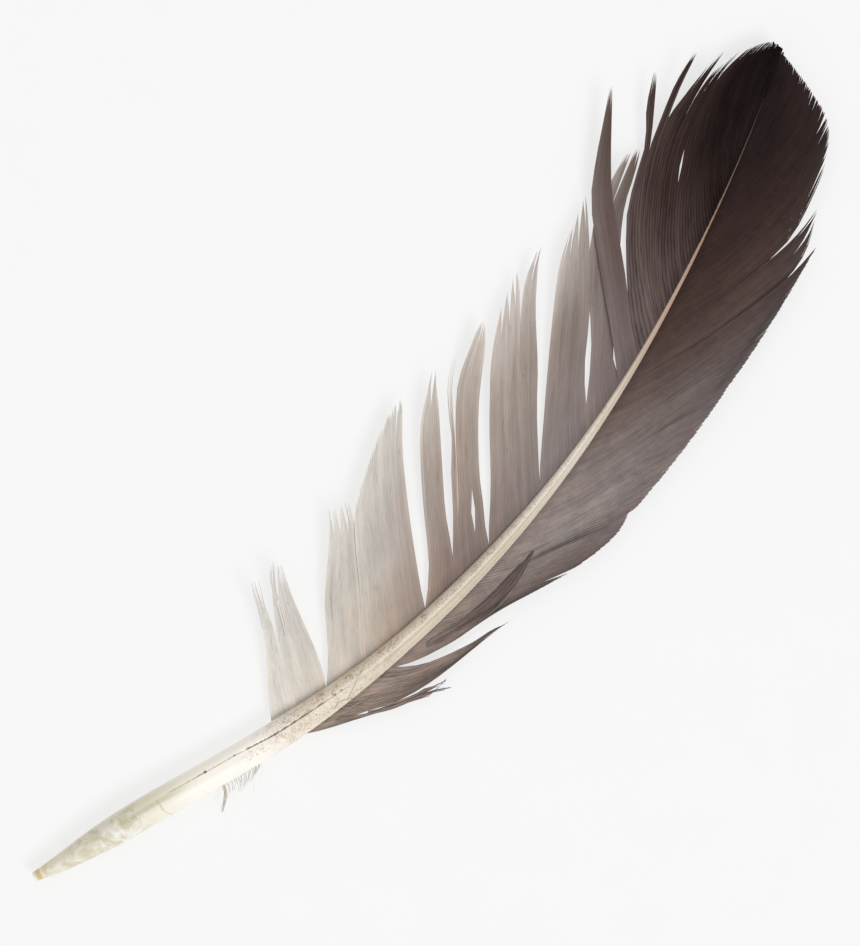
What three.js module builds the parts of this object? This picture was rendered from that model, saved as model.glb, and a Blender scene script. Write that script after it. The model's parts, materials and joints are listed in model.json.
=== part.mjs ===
// A quill pen: one long flight feather, lying on a desk with its grooved underside up.
// Millimetres, +Z up. Plan positions are measured in the feather's own chord frame: +X runs from the cut
// end of the barrel towards the feather's tip, and +Y is the side of the wide vane.
import * as THREE from "three";
import { mergeVertices } from "three/addons/utils/BufferGeometryUtils.js";

// ---- Driving dimensions -------------------------------------------------------------------------

// The shaft's centreline in plan, as pairs [x, y].
const SHAFT_LINE = [
  [0, 0], [25, -8.3], [50, -16.6], [75, -24.6], [100, -29.7], [125, -32.3], [150, -33],
  [175, -31.2], [200, -27.3], [225, -21.4], [250, -14], [276, -4.6],
];
// Half of the shaft's width, as pairs [x, half width].
const HALF_WIDTH = [
  [0, 1.2], [3, 1.7], [8.5, 2.4], [12.5, 2.9], [16, 3.3], [20, 3.6], [27, 3.85], [50, 3.85], [70, 3.7],
  [85, 3.15], [100, 2.6], [125, 2.2], [150, 1.65], [175, 1.15], [200, 0.72], [225, 0.45], [250, 0.27],
  [276, 0.12],
];
const BARREL_WALL = 0.45; // horn wall of the barrel and the shaft
const BARREL_END = 62; // where the barrel ends and the shaft that carries the vanes begins
const END_GAP = 0.1; // between the barrel's end and the shaft's
const FLAT_DEPTH = 0.85; // depth of the shaft over its width, where it carries vanes
const GROOVE_DEPTH = 0.22; // of the groove along the underside, over the shaft's half depth
const GROOVE_WIDTH = 0.3; // over the half width
const BARREL_TAPER = 27; // the barrel narrows from here to its cut end
const END_DROP = 0.5; // how much nearer the desk the cut end lies
const LIFT_FROM = 190; // the shaft leaves the desk here
const TIP_LIFT = 5; // and has risen this much at the feather's tip
const PITH_START = 38;
const PITH_END = 199;
const PITH_GAP = 0.2;
const PULP_CAPS = [9, 16, 23.5, 30, 35]; // x of each dried pulp cap's dome
const CAP_DEPTH = 2.2;
const CAP_WALL = 0.2;

const VANE_THICKNESS = 0.4;
const VANE_GAP = 0.3; // between a tuft's root and the shaft
const VANE_HEIGHT = 0.75; // where the barbs leave the shaft, over its half depth

// Each tuft is the set of barbs between two edge barbs. An edge is the x of its root on the shaft, then the
// plan points that it passes, the last one its tip. "crown" is how far the middle barbs reach past the
// straight line between the two tips, "lift" how far the rear and front tips rise above their roots, and
// "over" how far the tuft lies above its neighbour, where it has folded over it.
const WIDE_VANE = [
  {
    rear: [67.3, [75, -11.8], [81.5, -5.3], [85.8, 0], [91, 7]],
    front: [73.5, [80.3, -11.8], [86.5, -3], [91.9, 6.4]],
    lift: [5.6, 5.2],
  },
  {
    rear: [73.9, [80.8, -11.7], [85.2, -6], [90.5, 0], [95, 4.2], [98.6, 7.2]],
    front: [82.6, [86.3, -19.3], [90, -12.5], [93, -6.2], [96.2, 0], [99.8, 5.3]],
    lift: [4.8, 4],
  },
  {
    rear: [83, [88.5, -20], [93.7, -15.1], [100.2, -8.6], [112, 0.3], [117, 5.4]],
    front: [94.3, [106, -15], [118.3, -2], [122.3, 3.2]],
    lift: [3.8, 3.2],
  },
  {
    rear: [94.6, [106.3, -15], [118.6, -2], [121, 0.2]],
    front: [114, [120, -21.7], [125.4, -15.2], [130, -9.8], [139, 0], [144.5, 5.3], [150, 10.2]],
    crown: 4.1, lift: [3.2, 3],
  },
  {
    rear: [114.4, [121.3, -24.8], [126.5, -19.8], [135.3, -10.3], [146, 0], [153, 5], [160.5, 9.5]],
    front: [124.2, [127.8, -26.8], [135.3, -17.5], [142.8, -9.8], [152, -0.7], [162, 8.9]],
    lift: [3.8, 3.2],
  },
  {
    rear: [124.6, [128.2, -26.5], [136.3, -19.6], [146.3, -10], [151.5, -5.6], [159, 2.6], [166.8, 7.3]],
    front: [126.2, [137.3, -19.9], [147.3, -10.4], [152, -5.9], [160, 2.2], [167.2, 6.9]],
    lift: [4.4, 4.2],
  },
  {
    rear: [126.6, [138, -20], [148, -10.5], [152.3, -6.4], [160, 0.3], [165.2, 3.3], [170.3, 5.3],
      [178.2, 8]],
    front: [136.2, [144.5, -21.3], [150.2, -15.4], [160, -6.5], [169.3, 0.3], [173.3, 2.9], [178.7, 7.5]],
    lift: [3.6, 3.2],
  },
  {
    rear: [136.7, [143.7, -25.3], [150.3, -19.8], [160, -10.8], [170, -2.3], [175, 1.5], [182.5, 6.2]],
    front: [150.2, [163, -18.5], [174.5, -7.5], [186, 2.3], [194, 10]],
    crown: 1, lift: [3.4, 3],
  },
  {
    rear: [150.5, [163.3, -18.6], [174.8, -7.7], [186.4, 1.9], [190, 4.8], [196.5, 8.2], [201.8, 9.8]],
    front: [155.6, [160, -26.8], [170, -17.3], [178.7, -9.9], [189, -0.1], [195.5, 4.9], [202.3, 9.4]],
    lift: [3, 3.2],
  },
  {
    rear: [156, [160.4, -27.3], [164.9, -24], [176, -15.6], [190, -5.3], [200, 1.6], [205, 4.5],
      [209, 6.2]],
    front: [174.3, [178.1, -26.2], [185.9, -19.4], [194.3, -12.9], [206, -3], [218.4, 9]],
    crown: 0.8, lift: [3.4, 2.6],
  },
  {
    rear: [175, [178.9, -26.5], [186.9, -20.7], [195, -13.7], [206.4, -3.4], [218, 4], [233.4, 8.4]],
    front: [188.2, [191.5, -23.9], [193.7, -21.4], [206, -12], [214.8, -5.3], [219.9, -1.1],
      [226.8, 2.3], [232.4, 4.7], [237, 7.1]],
    lift: [2.6, 2],
  },
  {
    rear: [188.9, [192.2, -24.4], [194.6, -22], [200.7, -14.5], [206.8, -6.8], [217, 5.4], [222.7, 10.2],
      [230, 14.8], [243, 22.5]],
    front: [197.4, [205.4, -16.6], [210.2, -11.8], [214.8, -5.7], [222, 3.3], [230, 10.9], [243.4, 22.1]],
    over: 1, lift: [5, 4],
  },
  {
    rear: [197.8, [206.2, -16.6], [216.7, -6.5], [224.6, -0.2], [232.3, 3.6], [238.2, 6.4], [244.9, 12],
      [253.1, 16.9]],
    front: [205.2, [215, -12.5], [225, -3.5], [235.8, 3.8], [240, 6.3], [246, 10.8], [253.5, 16.5]],
    lift: [4.4, 4.6],
  },
  {
    rear: [205.4, [215.2, -12.6], [225.2, -3.7], [236.2, 3.5], [245, 7.2], [250.8, 9.1], [256, 11],
      [263.2, 12.4]],
    front: [206.6, [216, -12.9], [226, -4], [237, 2.8], [246, 6.7], [251.4, 8.4], [256.4, 10.4],
      [263.6, 12]],
    lift: [5, 5],
  },
  {
    rear: [206.9, [216.3, -13.1], [226.3, -4.3], [237.4, 2.4], [245, 5.9], [251, 6.6], [256.4, 7.4],
      [263.4, 8]],
    front: [211, [218.3, -15.6], [226.6, -8.5], [236.8, -1.5], [246.5, 3], [254.8, 5.2], [262.5, 6.5],
      [269.2, 7.2]],
    lift: [4.6, 4.4],
  },
  {
    rear: [211.3, [218.6, -15.8], [227, -8.8], [237.2, -1.9], [247, 2.6], [255, 4.8], [263, 5.6]],
    front: [219.8, [227.6, -13.9], [237.5, -6.4], [250, 0.5], [262.5, 4], [270.6, 4.2]],
    lift: [4.4, 4],
  },
  {
    rear: [220.1, [227.9, -14.1], [237.9, -6.7], [250.4, 0.2], [262.5, 3.6], [272.4, 3.2]],
    front: [268.5, [272.5, -5.4], [275.5, -4.1], [278.4, -2.6]],
    crown: 1.8, lift: [4, 1.2],
  },
];
const NARROW_VANE = [
  {
    rear: [73.4, [84, -34.9], [93.4, -40.4], [98.8, -43], [104.6, -46.6]],
    front: [75, [85.6, -35.4], [95, -40.4], [100, -42.6], [105.2, -44.8]],
    lift: [1, 1.2],
  },
  {
    rear: [75.4, [85.2, -34.2], [90.8, -37.7], [96, -40.1], [104, -42.5], [116, -44.7], [122, -45.6]],
    front: [97.6, [102, -36.6], [106.8, -39.5], [115.2, -43.1], [119.8, -44.3], [129.4, -47.6]],
    lift: [1.6, 2.6],
  },
  {
    rear: [98.2, [104.9, -36.2], [110, -38.3], [116, -40.3], [124, -42]],
    front: [114.6, [125, -39.6], [134, -43.8], [141.5, -48.5]],
    crown: 0.6, lift: [2.6, 3],
  },
  {
    rear: [114.9, [125.3, -39.5], [134.3, -43.6], [142, -48.5]],
    front: [131.8, [140, -40.1], [150.2, -44.4], [156.8, -47.6], [163.8, -51.6]],
    crown: 3.6, lift: [3, 3.6],
  },
  {
    rear: [132.1, [140.3, -39.9], [150.5, -44.2], [157, -47.4], [164.3, -51.5]],
    front: [158.8, [167, -37.9], [175, -40.5], [185.3, -43], [192.8, -45.4], [201.2, -49.4]],
    crown: 1.2, lift: [3.6, 4.2],
  },
  {
    rear: [159.1, [167.3, -37.6], [175.3, -40.2], [185.5, -42.7], [193.1, -45.1], [201.6, -49.1]],
    front: [189.8, [200, -33.6], [210, -36.9], [222, -39.8], [235, -42.5], [242.6, -43.2]],
    crown: 1.8, lift: [4.2, 4.4],
  },
  {
    rear: [190.1, [200.3, -33.3], [210.3, -36.6], [222.3, -39.4], [235.2, -41.9], [244, -41.2],
      [251.5, -38]],
    front: [198.9, [207, -29.5], [215, -32.1], [225, -34.2], [235.8, -36], [244.4, -37.3], [254.8, -36.4]],
    lift: [4.4, 4.2],
  },
  {
    rear: [199.2, [207.3, -29.3], [215.3, -31.8], [225.3, -33.9], [236, -35.4], [244.9, -35.9],
      [250, -35.2], [260.4, -32.4]],
    front: [224.6, [235, -24.4], [245, -25.6], [255, -25.8], [263, -25.2], [272.4, -24]],
    crown: 2, lift: [4.2, 4],
  },
  {
    rear: [224.9, [235, -24.1], [245, -25.3], [255, -25.5], [263, -24.9], [273.4, -22.8]],
    front: [268.5, [272.5, -6.5], [275.5, -5.3], [277.5, -4.4]],
    crown: 0.7, lift: [4, 1.2],
  },
];
// Down left at the top of the barrel, on the narrow vane's side: one matted strand and one loose fan.
const DOWN = [
  {
    rear: [47.6, [48, -21.3], [45.8, -23], [43.2, -24.4]],
    front: [48.8, [48.4, -22], [46.4, -23.4], [43.5, -24.9]],
  },
  {
    rear: [50, [50.2, -22.6], [51.4, -24.6]],
    front: [57.6, [60, -24.4], [62.6, -25.4]],
  },
];

const AROUND = 20; // sides of the barrel and the shaft
const CAP_AROUND = 12;
const BARREL_STATIONS = [0, 2, 5, 9, 14, 20, 28, 38, 50, BARREL_END];
const SHAFT_STATIONS = [70, 80, 92, 106, 122, 140, 160, 180, PITH_END + 2];
const TIP_STATIONS = [215, 232, 250, 266];
const ROWS = 8; // steps along a tuft's barbs

// ---- Curves and sections ------------------------------------------------------------------------

/** A smooth function through pairs [x, value]. */
function smooth(pairs) {
  const curve = new THREE.CubicInterpolant(
    pairs.map(([x]) => x),
    pairs.map(([, value]) => value),
    1,
  );
  return (x) => curve.evaluate(x)[0];
}

const shaftY = smooth(SHAFT_LINE);
const halfWidth = smooth(HALF_WIDTH);
const SHAFT_TIP = SHAFT_LINE.at(-1)[0];

/** How round (0) or flattened and grooved (1) the section is at x. */
const flatness = (x) => THREE.MathUtils.smoothstep(x, PITH_START, 90);

const halfDepth = (x) => halfWidth(x) * THREE.MathUtils.lerp(1, FLAT_DEPTH, flatness(x));

/** How far the shaft's back is above the desk at x. */
function backHeight(x) {
  const along = Math.max(0, x - LIFT_FROM) / (SHAFT_TIP - LIFT_FROM);
  return TIP_LIFT * along * along;
}

/** Height of the shaft's centreline: its back rests on the desk, and the tapered end stays in line. */
function shaftZ(x) {
  if (x >= BARREL_TAPER) return backHeight(x) + halfDepth(x);
  const before = (BARREL_TAPER - x) / BARREL_TAPER;
  return halfDepth(BARREL_TAPER) - END_DROP * before * before;
}

const shaftPoint = (x) => new THREE.Vector3(x, shaftY(x), shaftZ(x));

/** Unit vectors at x: along the shaft, and level across it towards the wide vane. */
function shaftAxes(x) {
  const step = 0.01;
  const along = shaftPoint(x + step).sub(shaftPoint(x - step)).normalize();
  const across = new THREE.Vector3(0, 0, 1).cross(along).normalize();
  return { along, across, up: along.clone().cross(across) };
}

/** Point of the shaft's section at x: share 1 is its surface, and angle 90 degrees its grooved underside. */
function sectionPoint(x, share, angle) {
  const { across, up } = shaftAxes(x);
  const grooved = Math.sin(angle) > 0 ? Math.exp(-((Math.cos(angle) / GROOVE_WIDTH) ** 2)) : 0;
  const depth = halfDepth(x) * (1 - GROOVE_DEPTH * flatness(x) * grooved);
  return shaftPoint(x)
    .addScaledVector(across, share * halfWidth(x) * Math.cos(angle))
    .addScaledVector(up, share * depth * Math.sin(angle));
}

/** The share of the section that lies inside a wall of this thickness at x. */
const insideShare = (x, wall) => 1 - wall / halfWidth(x);

// ---- Solids -------------------------------------------------------------------------------------

/** Moves each vertex of a closed geometry to where place(x, y, z) puts it, and merges what meets. */
function reshape(geometry, place) {
  geometry.deleteAttribute("normal");
  geometry.deleteAttribute("uv");
  const position = geometry.getAttribute("position");
  for (let i = 0; i < position.count; i++) {
    const point = place(position.getX(i), position.getY(i), position.getZ(i));
    position.setXYZ(i, point.x, point.y, point.z);
  }
  return mergeVertices(geometry, 1e-3);
}

/** A turned profile of pairs [share of the section, x], bent along the shaft. */
function alongShaft(profile, around) {
  const points = profile.map(([share, x]) => new THREE.Vector2(share, x));
  return reshape(new THREE.LatheGeometry(points, around), (a, x, b) =>
    sectionPoint(x, Math.hypot(a, b), Math.atan2(a, b)),
  );
}

function barrelGeometry() {
  const outer = BARREL_STATIONS.map((x) => [1, x]);
  const inner = BARREL_STATIONS.map((x) => [insideShare(x, BARREL_WALL), x]).reverse();
  return alongShaft([...outer, ...inner, outer[0]], AROUND);
}

function shaftGeometry() {
  const stations = [BARREL_END + END_GAP, ...SHAFT_STATIONS];
  const wallShare = (x) => insideShare(x, Math.min(BARREL_WALL, 0.4 * halfWidth(x)));
  const cavityEnd = SHAFT_STATIONS.at(-1);
  const inner = stations.map((x) => [wallShare(x), x]).reverse();
  const outer = [...stations, ...TIP_STATIONS].map((x) => [1, x]);
  return alongShaft([[0, cavityEnd], ...inner, ...outer, [1, SHAFT_TIP], [0, SHAFT_TIP]], AROUND);
}

function pithGeometry() {
  const middle = [...BARREL_STATIONS, ...SHAFT_STATIONS].filter((x) => x > PITH_START && x < PITH_END);
  const side = [PITH_START, ...middle, PITH_END].map((x) => {
    const wall = Math.min(BARREL_WALL, 0.4 * halfWidth(x));
    return [insideShare(x, wall + PITH_GAP * Math.min(1, halfWidth(x))), x];
  });
  return alongShaft([[0, PITH_START], ...side, [0, PITH_END]], CAP_AROUND);
}

/** One dried pulp cap: a thin cup across the barrel, its dome towards the cut end. */
function capGeometry(x) {
  const rim = insideShare(x, BARREL_WALL + PITH_GAP);
  const dome = (share, depth) => [share * rim, x + depth * (1 - Math.sqrt(1 - share * share))];
  const outer = [0, 0.5, 0.85, 1].map((share) => dome(share, CAP_DEPTH));
  const inner = outer.map(([share, at]) => [share * 0.94, at + CAP_WALL]).reverse();
  inner[0][1] = outer.at(-1)[1];
  return alongShaft([...outer, ...inner], CAP_AROUND);
}

/** The point where a barb with its root at x leaves the shaft, on one side of it. */
function rootPoint(x, side) {
  return shaftPoint(x).addScaledVector(shaftAxes(x).across, side * (halfWidth(x) + VANE_GAP));
}

/** A tuft as a thin curved plate between its two edge barbs. */
function tuftGeometry(tuft, side) {
  const edge = ([x, ...points]) => {
    const root = rootPoint(x, side);
    return new THREE.SplineCurve([
      new THREE.Vector2(root.x, root.y),
      ...points.map(([px, py]) => new THREE.Vector2(px, py)),
    ]);
  };
  const rear = edge(tuft.rear);
  const front = edge(tuft.front);
  const width = Math.abs(tuft.front[0] - tuft.rear[0]);
  const columns = THREE.MathUtils.clamp(Math.round(width / 3), 2, 8);
  return reshape(new THREE.BoxGeometry(1, 1, 1, columns, ROWS, 1), (a, b, c) => {
    const across = 0.5 + side * a;
    const along = b + 0.5;
    const plan = rear.getPointAt(along).lerp(front.getPointAt(along), across);
    const reach = rear.getTangentAt(along).lerp(front.getTangentAt(along), across).normalize();
    plan.addScaledVector(reach, (tuft.crown ?? 0) * 4 * across * (1 - across) * along ** 3);
    const rootX = THREE.MathUtils.lerp(tuft.rear[0], tuft.front[0], across);
    const root = rootPoint(rootX, side);
    const straight = rear.getPoint(0).lerp(front.getPoint(0), across);
    plan.addScaledVector(new THREE.Vector2(root.x, root.y).sub(straight), (1 - along) ** 2);
    const rootZ = backHeight(rootX) + VANE_HEIGHT * halfDepth(rootX) + 0.1;
    const over = (tuft.over ?? 0) * THREE.MathUtils.smoothstep(along, 0, 0.15);
    const lift = THREE.MathUtils.lerp(...(tuft.lift ?? [0, 0]), across);
    const z = rootZ + over + lift * along * along + c * VANE_THICKNESS;
    return new THREE.Vector3(plan.x, plan.y, z);
  });
}

// ---- Materials ----------------------------------------------------------------------------------

const horn = new THREE.MeshStandardMaterial({ color: 0xddd8bf, roughness: 0.35, metalness: 0 });
const shaftHorn = new THREE.MeshStandardMaterial({ color: 0xe2d6bd, roughness: 0.5, metalness: 0 });
const pith = new THREE.MeshStandardMaterial({ color: 0xf7f3ec, roughness: 0.9, metalness: 0 });
const membrane = new THREE.MeshStandardMaterial({ color: 0xf2ead8, roughness: 0.6, metalness: 0 });
const paleBarbs = new THREE.MeshStandardMaterial({ color: 0xcfc9c1, roughness: 0.8, metalness: 0 });
const greyBarbs = new THREE.MeshStandardMaterial({ color: 0x9a8f89, roughness: 0.8, metalness: 0 });
const darkBarbs = new THREE.MeshStandardMaterial({ color: 0x3c312e, roughness: 0.75, metalness: 0 });
const down = new THREE.MeshStandardMaterial({ color: 0xc9c4bd, roughness: 0.9, metalness: 0 });

/** Barbs are pale near the barrel and dark towards the feather's tip. */
function barbMaterial(rootX, paleUntil, greyUntil) {
  if (rootX < paleUntil) return paleBarbs;
  return rootX < greyUntil ? greyBarbs : darkBarbs;
}

// ---- Assembly -----------------------------------------------------------------------------------

const quill = new THREE.Group();

function add(name, geometry, material) {
  const mesh = new THREE.Mesh(geometry, material);
  mesh.name = name;
  quill.add(mesh);
}

const number = (index) => String(index + 1).padStart(2, "0");

add("barrel", barrelGeometry(), horn);
add("shaft", shaftGeometry(), shaftHorn);
add("shaft_pith", pithGeometry(), pith);
PULP_CAPS.forEach((x, i) => add(`pulp_cap_${i + 1}`, capGeometry(x), membrane));
WIDE_VANE.forEach((tuft, i) =>
  add(`wide_vane_tuft_${number(i)}`, tuftGeometry(tuft, 1), barbMaterial(tuft.rear[0], 110, 188)),
);
NARROW_VANE.forEach((tuft, i) =>
  add(`narrow_vane_tuft_${number(i)}`, tuftGeometry(tuft, -1), barbMaterial(tuft.rear[0], 0, 150)),
);
DOWN.forEach((tuft, i) => add(`down_tuft_${i + 1}`, tuftGeometry(tuft, -1), down));

// The origin is the middle of the bounding box's bottom face, so the feather stands on z = 0.
const bounds = new THREE.Box3().setFromObject(quill);
const middle = bounds.getCenter(new THREE.Vector3());
quill.position.set(-middle.x, -middle.y, -bounds.min.z);

export default quill;
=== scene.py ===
"""A quill pen: one whole flight feather lying on a pale desk, with its grooved underside up.

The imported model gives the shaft's line and section and the surface of every tuft of barbs. Each tuft is then
combed out of single barbs, and the barrel and the shaft get their fine horn surfaces.
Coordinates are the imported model's: metres, +X towards the feather's tip, +Y towards the wide vane.
"""

import json
import math
import random

import bmesh
import bpy
import numpy as np
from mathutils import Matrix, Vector, noise


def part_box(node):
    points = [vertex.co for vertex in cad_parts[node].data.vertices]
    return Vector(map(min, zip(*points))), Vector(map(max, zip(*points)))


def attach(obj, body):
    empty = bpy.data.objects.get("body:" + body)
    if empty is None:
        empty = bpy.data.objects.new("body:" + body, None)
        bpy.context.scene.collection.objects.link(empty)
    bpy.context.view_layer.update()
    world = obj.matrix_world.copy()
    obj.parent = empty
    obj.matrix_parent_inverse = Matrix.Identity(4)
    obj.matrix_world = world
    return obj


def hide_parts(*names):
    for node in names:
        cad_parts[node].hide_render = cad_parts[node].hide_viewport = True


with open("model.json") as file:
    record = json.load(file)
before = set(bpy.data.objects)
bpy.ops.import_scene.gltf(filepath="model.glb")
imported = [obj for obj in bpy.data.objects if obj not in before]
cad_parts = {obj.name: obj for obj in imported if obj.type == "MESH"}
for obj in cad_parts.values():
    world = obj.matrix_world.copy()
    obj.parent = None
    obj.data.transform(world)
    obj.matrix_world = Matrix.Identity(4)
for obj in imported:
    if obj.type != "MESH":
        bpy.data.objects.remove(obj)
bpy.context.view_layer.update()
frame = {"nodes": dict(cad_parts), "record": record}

MM = 0.001

# ---- Desk, light and view ------------------------------------
DESK_SIZE = 3.0
DESK_GLOW = 0.685  # share of the desk's light that no shadow takes away
AMBIENT = 0.62
VIEW_CENTRE = Vector((1.95 * MM, 7.45 * MM, 3 * MM))
VIEW_HEIGHT = 236.5 * MM  # of the picture, at the feather
VIEW_TURN = math.radians(-48.64)
LENS = 120.0
SENSOR = 36.0
# Name, place, size and watts.
LIGHTS = [("window", (-0.3, -2.2, 2.6), 1.4, 55.0), ("fill", (0.8, 1.6, 2.6), 2.0, 8.0)]

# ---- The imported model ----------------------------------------
CUT_END = Vector((-139.1 * MM, 14.85 * MM, 0))  # below the middle of the barrel's cut end
LENGTH = 278 * MM  # from there to the feather's tip
PLATE_STEPS = 8  # of a tuft's plate, along the barbs
PLATE_MATCH = 0.005 * MM  # how near in plan a plate's upper and lower points lie
WELD = 0.002 * MM

# ---- Barbs ---------------------------------------------------
BARB_SPACING = 0.6 * MM
BARB_STEPS = 14
BARB_OVERLAP = 1.15  # of a barb's width over its share of the tuft
RIDGE = 0.04 * MM  # half the thickness along a barb's middle, at its root
ROOT_REACH = 0.9 * MM  # the furthest that a barb's root runs on into the shaft
ROOT_TUCK = 0.7 * MM  # the furthest that it is bent in towards the shaft's middle
ROOT_GAP = 0.3 * MM  # between a tuft's plate and the shaft
LEAN_FROM = 0.72  # share of a barb's length where its tip begins to curve over
LEAN_STEP = 3 * MM
PART_REACH = 1.6 * MM  # how far from a parting the barbs give way to it
CLUMP_FROM = 0.8  # share of a barb's length where it begins to draw in to its clump
CLUMP_PULL = 0.85  # how far it draws in
LOOSE_THINNING = 0.8  # how much of its width an unhooked tip loses
TUCK_LENGTH = 2.5 * MM
CUP = 0.2 * MM  # how far a tuft's outer barbs rise at their tips
UNEVEN = 0.04 * MM
POINT_CROWDING = 1.55  # above 1, a barb's steps are shorter towards its point
SMOOTH_BELOW = math.radians(60)

# ---- Horn ----------------------------------------------------
HORN_AROUND = 72
HORN_CROWDING = 0.6  # how much closer the rings' points lie at the slit
BARREL_CUTS = 62
SHAFT_CUTS = 150
HORN_WALL = 0.45 * MM
HORN_SMOOTH_BELOW = math.radians(40)
# The slit along the barrel's underside widens into the shaft's groove: x in mm, and its turn in degrees from
# the wide vane's side, its width and its depth in mm.
SLIT_AT = [34, 40, 56, 60, 66, 82, 90, 100, 130, 200, 250]
SLIT_TURN = [64, 66, 68, 72, 79, 80, 85, 90, 90, 90, 90]
SLIT_WIDTH = [0.12, 0.15, 0.15, 0.2, 0.22, 0.22, 0.4, 0.55, 0.5, 0.22, 0.1]
SLIT_DEPTH = [0.0, 0.12, 0.16, 0.25, 0.3, 0.3, 0.3, 0.34, 0.3, 0.14, 0.0]
CAP_DEPTH = 2.2 * MM
CAP_WALL = 0.12 * MM
CAP_GAP = 0.12 * MM
CAP_CRUMPLE = 0.35 * MM
PULP_CAPS = 5

# ---- Loose barbs and down ------------------------------------
WEDGE_BARBS = 11
DOWN_BARBS = 12
FAN_HAIRS = 44


def srgb(red, green, blue):
    """A colour given as the eye sees it, 0 to 255, as linear light."""
    def linear(value):
        value /= 255
        return value / 12.92 if value <= 0.04045 else ((value + 0.055) / 1.055) ** 2.4
    return (linear(red), linear(green), linear(blue), 1.0)


def smoothstep(low, high, value):
    t = np.clip((value - low) / (high - low), 0, 1)
    return t * t * (3 - 2 * t)


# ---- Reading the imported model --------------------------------
def merged(node):
    """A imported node's mesh with its loose triangles joined up."""
    mesh = bmesh.new()
    mesh.from_mesh(frame["nodes"][node].data)
    bmesh.ops.remove_doubles(mesh, verts=mesh.verts, dist=WELD)
    return mesh


def crossings(nodes, x):
    """Where the edges of these nodes pass through the plane at x, as rows of y and z."""
    found = []
    for low, high in nodes:
        crossed = (low[:, 0] <= x) & (high[:, 0] > x)
        a, b = low[crossed], high[crossed]
        share = ((x - a[:, 0]) / (b[:, 0] - a[:, 0]))[:, None]
        found.append((a + (b - a) * share)[:, 1:])
    return np.concatenate(found)


def edges_by_x(node):
    """Both ends of each edge of a node, the one with the smaller x first."""
    mesh = merged(node)
    ends = np.array([[v.co for v in sorted(e.verts, key=lambda v: v.co.x)] for e in mesh.edges])
    mesh.free()
    return ends[:, 0], ends[:, 1]


class ShaftLine:
    """The centreline and half sizes of the barrel and shaft, by x."""

    SLICES = 180
    END_MARGIN = 0.6 * MM
    DEGREE = 9

    def __init__(self):
        self.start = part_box("barrel")[0].x
        self.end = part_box("shaft")[1].x
        xs = np.linspace(self.start + self.END_MARGIN, self.end - self.END_MARGIN, self.SLICES)
        nodes = [edges_by_x("barrel"), edges_by_x("shaft")]
        rows = [crossings(nodes, x) for x in xs]
        low = np.array([r.min(0) for r in rows])
        high = np.array([r.max(0) for r in rows])
        self.xs = xs
        self.line = np.polynomial.Chebyshev.fit(xs, (low[:, 0] + high[:, 0]) / 2, self.DEGREE)
        slope = self.line.deriv()(xs)
        self.widths = (high[:, 0] - low[:, 0]) / 2 / np.sqrt(1 + slope**2)
        self.middles = (high[:, 1] + low[:, 1]) / 2
        self.depths = (high[:, 1] - low[:, 1]) / 2

    def centre(self, x):
        return np.stack([x, self.line(x), np.interp(x, self.xs, self.middles)], -1)

    def half_width(self, x):
        return np.interp(x, self.xs, self.widths)

    def half_depth(self, x):
        return np.interp(x, self.xs, self.depths)

    def across(self, x):
        """The level direction across the shaft, towards the wide vane."""
        slope = self.line.deriv()(x)
        length = np.sqrt(1 + slope**2)
        return np.stack([-slope / length, 1 / length, np.zeros_like(x)], -1)


def ordered(row, links, first):
    """The points of a row in order, each linked to the next, from its end at first."""
    line, left = [first], set(row) - {first}
    while left:
        first = next(v for v in links[first] if v in left)
        left.discard(first)
        line.append(first)
    return line


def plate_top(mesh):
    """The points on a tuft plate's upper face, each straight above one on its lower face, and their links."""
    heights = {}
    for vert in mesh.verts:
        key = (round(vert.co.x / PLATE_MATCH), round(vert.co.y / PLATE_MATCH))
        heights.setdefault(key, []).append(vert)
    points = {max(pair, key=lambda v: v.co.z) for pair in heights.values()}
    links = {v: {e.other_vert(v) for e in v.link_edges} & points for v in points}
    return points, links


def tuft_grid(node, side):
    """The upper face of a tuft's plate as a grid [step along the barbs][place across], roots first."""
    mesh = merged(node)
    points, links = plate_top(mesh)
    faces = [f for f in mesh.faces if all(v in points for v in f.verts)]
    shared = {}
    for face in faces:
        for edge in face.edges:
            shared[edge] = shared.get(edge, 0) + 1
    rim_links = {}
    for edge in (e for e, uses in shared.items() if uses == 1):
        a, b = edge.verts
        rim_links.setdefault(a, set()).add(b)
        rim_links.setdefault(b, set()).add(a)
    rim = ordered(rim_links, rim_links, next(iter(rim_links)))
    width = len(points) // (PLATE_STEPS + 1)
    # The roots are the stretch of the rim that is closest to the shaft, and lowest.
    away = [side * (v.co.y - shaft.line(v.co.x)) - shaft.half_width(v.co.x) + 0.15 * v.co.z for v in rim]
    turns = range(len(rim))
    start = min(turns, key=lambda i: sum(away[(i + k) % len(rim)] for k in range(width)))
    row = [rim[(start + k) % len(rim)] for k in range(width)]
    if row[0].co.x > row[-1].co.x:
        row.reverse()
    grid, seen = [], set()
    while row:
        grid.append([tuple(v.co) for v in row])
        seen |= set(row)
        ahead = {w for v in row for w in links[v]} - seen
        ends = [v for v in ahead if len(links[v] & ahead) == 1]
        row = ahead and ordered(ahead, links, min(ends, key=lambda v: (v.co - row[0].co).length))
    mesh.free()
    return np.array(grid)


shaft = ShaftLine()
JOINT = (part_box("barrel")[1].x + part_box("shaft")[0].x) / 2  # where the barrel meets the shaft


# ---- Small helpers for modelling by hand ---------------------
def only(piece):
    """Selects one object and nothing else, and makes it the active one."""
    bpy.ops.object.select_all(action="DESELECT")
    piece.select_set(True)
    bpy.context.view_layer.objects.active = piece


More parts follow.
